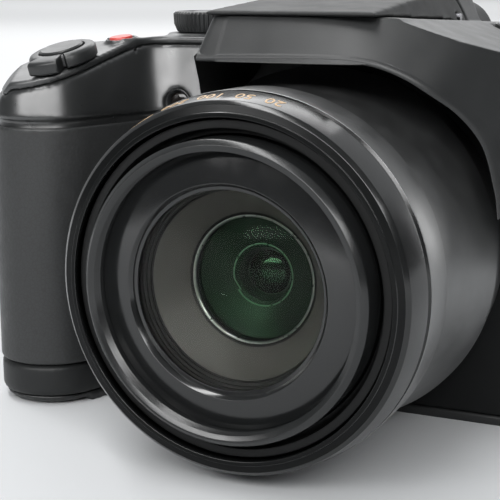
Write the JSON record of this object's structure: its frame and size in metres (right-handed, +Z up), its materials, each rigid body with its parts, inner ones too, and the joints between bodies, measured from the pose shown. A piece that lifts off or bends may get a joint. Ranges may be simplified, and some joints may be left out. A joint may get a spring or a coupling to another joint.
{
  "type": "bridge camera",
  "caption": "Bridge camera with a two-stage telescopic zoom lens, moulded grip, viewfinder hump with a pop-up flash, fixed rear monitor and tripod socket.",
  "frame": {"origin": "mouth of the tripod socket in the base, straight below the lens axis", "axes": "+X to the far side from the grip, +Y to the back, +Z up; the lens points along -Y"},
  "size_m": [0.1426, 0.119, 0.0949],
  "materials": {
    "casing": "satin, finely grained",
    "deck": "satin, finely grained",
    "rubber": "grained",
    "barrel": "satin",
    "name_ring": "satin, bare",
    "inner_black": "dead matte",
    "glass": "coated",
    "control": "satin",
    "movie_red": "gloss",
    "circuit": "solder mask",
    "metal": "plain",
    "reflector": "bright",
    "cell": "sleeved",
    "box_plastic": "moulded"
  },
  "bodies": {
    "camera_body": {"front_cover": "casing", "top_cover": "deck", "hump_cover": "casing", "rear_cover": "casing", "base_plate": "casing", "grip_rubber": "rubber", "thumb_rest": "rubber", "af_lamp": "glass", "lens_barrel": "barrel", "trim_ring": "barrel", "iris_unit": "inner_black", "rear_lens": "glass", "lens_base": "inner_black", "zoom_motor": "metal", "image_sensor": "circuit", "chassis": "metal", "main_board": "circuit", "battery_box": "box_plastic", "battery": "cell", "memory_card": "cell", "door_hinge_pin": "metal", "hdmi_socket": "metal", "usb_socket": "metal", "monitor_glass": "glass", "monitor_panel": "inner_black", "eyecup": "rubber", "eyepiece_lens": "glass", "viewfinder_module": "inner_black", "flash_hinge_pin": "metal", "flash_capacitor": "cell", "strap_lugs": "metal", "tripod_socket": "metal"},
    "middle_stage": {"middle_barrel": "barrel"},
    "front_stage": {"front_barrel": "barrel", "name_ring": "name_ring", "front_lens": "glass", "lens_baffle": "inner_black", "inner_lens": "glass"},
    "flash": {"flash_cover": "casing", "flash_window": "glass", "flash_tube": "reflector"},
    "flash_button_body": {"flash_button": "control"},
    "mode_dial_body": {"mode_dial": "control"},
    "power_switch_body": {"power_switch": "control"},
    "zoom_lever_body": {"zoom_lever": "control"},
    "shutter_button_body": {"shutter_button": "control"},
    "movie_button_body": {"movie_button": "movie_red"},
    "rear_dial_body": {"rear_dial": "control"},
    "lock_button_body": {"lock_button": "control"},
    "viewfinder_button_body": {"viewfinder_button": "control"},
    "play_button_body": {"play_button": "control"},
    "cursor_up_body": {"cursor_up": "control"},
    "cursor_down_body": {"cursor_down": "control"},
    "cursor_left_body": {"cursor_left": "control"},
    "cursor_right_body": {"cursor_right": "control"},
    "menu_button_body": {"menu_button": "control"},
    "dioptre_dial_body": {"dioptre_dial": "control"},
    "battery_door_body": {"battery_door": "casing"},
    "door_latch_body": {"door_latch": "control"},
    "port_cover_body": {"port_cover": "rubber"}
  },
  "joints": [
    {"name": "zoom_middle", "type": "slide", "parent": "camera_body", "child": "middle_stage", "axis": [0, -1, 0], "range_m": [0, 0.028]},
    {"name": "zoom_front", "type": "slide", "parent": "middle_stage", "child": "front_stage", "axis": [0, -1, 0], "range_m": [0, 0.028]},
    {"name": "flash_lift", "type": "hinge", "parent": "camera_body", "child": "flash", "pos_m": [0, 0.003, 0.0896], "axis": [-1, 0, 0], "range_deg": [0, 40]},
    {"name": "mode_turn", "type": "hinge", "parent": "camera_body", "child": "mode_dial_body", "pos_m": [-0.038, -0.007, 0.0855], "axis": [0, 0, 1], "continuous": true},
    {"name": "power_slide", "type": "slide", "parent": "camera_body", "child": "power_switch_body", "axis": [1, 0, 0], "range_m": [0, 0.004]},
    {"name": "zoom_turn", "type": "hinge", "parent": "camera_body", "child": "zoom_lever_body", "pos_m": [-0.06, -0.0417, 0.0794], "axis": [-0.1126, -0.2622, 0.9584], "range_deg": [-22, 22], "stiffness_Nm_per_rad": 0.04},
    {"name": "shutter_press", "type": "slide", "parent": "camera_body", "child": "shutter_button_body", "axis": [0.1126, 0.2622, -0.9584], "range_m": [0, 0.0012], "stiffness_N_per_m": 400},
    {"name": "movie_press", "type": "slide", "parent": "camera_body", "child": "movie_button_body", "axis": [0.0579, 0.1323, -0.9895], "range_m": [0, 0.0006], "stiffness_N_per_m": 400},
    {"name": "flash_press", "type": "slide", "parent": "camera_body", "child": "flash_button_body", "axis": [-0.3389, 0, -0.9408], "range_m": [0, 0.0006], "stiffness_N_per_m": 400},
    {"name": "rear_turn", "type": "hinge", "parent": "camera_body", "child": "rear_dial_body", "pos_m": [-0.0565, 0.0152, 0.0751], "axis": [0, 0, 1], "continuous": true},
    {"name": "lock_press", "type": "slide", "parent": "camera_body", "child": "lock_button_body", "axis": [0, -1, 0], "range_m": [0, 0.0006], "stiffness_N_per_m": 400},
    {"name": "viewfinder_press", "type": "slide", "parent": "camera_body", "child": "viewfinder_button_body", "axis": [0, -1, 0], "range_m": [0, 0.0006], "stiffness_N_per_m": 400},
    {"name": "play_press", "type": "slide", "parent": "camera_body", "child": "play_button_body", "axis": [0, -1, 0], "range_m": [0, 0.0006], "stiffness_N_per_m": 400},
    {"name": "cursor_up_press", "type": "slide", "parent": "camera_body", "child": "cursor_up_body", "axis": [0, -1, 0], "range_m": [0, 0.0006], "stiffness_N_per_m": 400},
    {"name": "cursor_down_press", "type": "slide", "parent": "camera_body", "child": "cursor_down_body", "axis": [0, -1, 0], "range_m": [0, 0.0006], "stiffness_N_per_m": 400},
    {"name": "cursor_left_press", "type": "slide", "parent": "camera_body", "child": "cursor_left_body", "axis": [0, -1, 0], "range_m": [0, 0.0006], "stiffness_N_per_m": 400},
    {"name": "cursor_right_press", "type": "slide", "parent": "camera_body", "child": "cursor_right_body", "axis": [0, -1, 0], "range_m": [0, 0.0006], "stiffness_N_per_m": 400},
    {"name": "menu_press", "type": "slide", "parent": "camera_body", "child": "menu_button_body", "axis": [0, -1, 0], "range_m": [0, 0.0006], "stiffness_N_per_m": 400},
    {"name": "dioptre_turn", "type": "hinge", "parent": "camera_body", "child": "dioptre_dial_body", "pos_m": [-0.0295, 0.021, 0.0768], "axis": [0, 1, 0], "range_deg": [-60, 60]},
    {"name": "battery_door_swing", "type": "hinge", "parent": "camera_body", "child": "battery_door_body", "pos_m": [-0.05683, -0.02042, 0.00115], "axis": [0, -1, 0], "range_deg": [0, 95]},
    {"name": "latch_slide", "type": "slide", "parent": "battery_door_body", "child": "door_latch_body", "axis": [1, 0, 0], "range_m": [0, 0.0022]},
    {"name": "port_swing", "type": "hinge", "parent": "camera_body", "child": "port_cover_body", "pos_m": [0.0512, -0.0007, 0.031], "axis": [0, 0, -1], "range_deg": [0, 95]}
  ],
  "couplings": [
    {"joint": "zoom_front", "follows": "zoom_middle", "ratio": 1}
  ]
}
